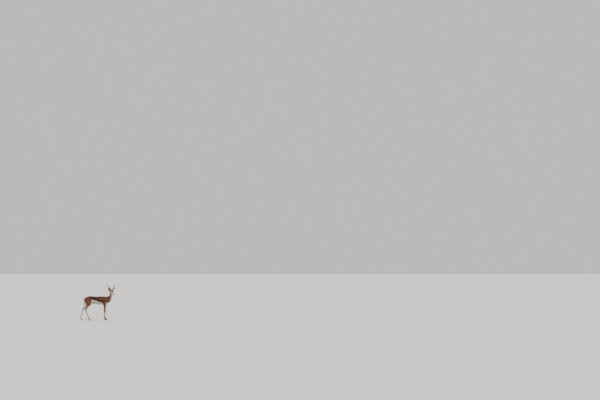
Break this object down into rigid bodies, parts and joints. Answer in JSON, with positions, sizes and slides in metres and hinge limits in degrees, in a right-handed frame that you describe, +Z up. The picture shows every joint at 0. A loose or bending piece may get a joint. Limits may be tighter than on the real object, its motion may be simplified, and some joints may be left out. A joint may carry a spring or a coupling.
{
  "type": "springbok",
  "caption": "Life-size springbok standing side-on with its head turned to its right, with slender legs, ringed lyre-shaped horns, cupped ears and a thin tufted tail.",
  "frame": {"origin": "middle of the bounding box's base, on the ground under the belly", "axes": "+X towards the chest, +Y to the animal's left, +Z up"},
  "size_m": [1.1808, 0.2854, 1.2322],
  "materials": {
    "coat": "short dense fur, cinnamon brown above and white below",
    "horn": "dark ringed horn, smoother at the tips",
    "eye": "wet dark brown",
    "hoof": "dark grey horn"
  },
  "bodies": {
    "root": {"head": "coat", "neck": "coat", "torso": "coat", "ear_left": "coat", "ear_right": "coat", "tail": "coat", "foreleg_left": "coat", "foreleg_right": "coat", "hindleg_left": "coat", "hindleg_right": "coat", "horn_left": "horn", "horn_right": "horn", "eye_left": "eye", "eye_right": "eye", "hoof_fore_left": "hoof", "hoof_fore_right": "hoof", "hoof_hind_left": "hoof", "hoof_hind_right": "hoof"}
  },
  "joints": []
}
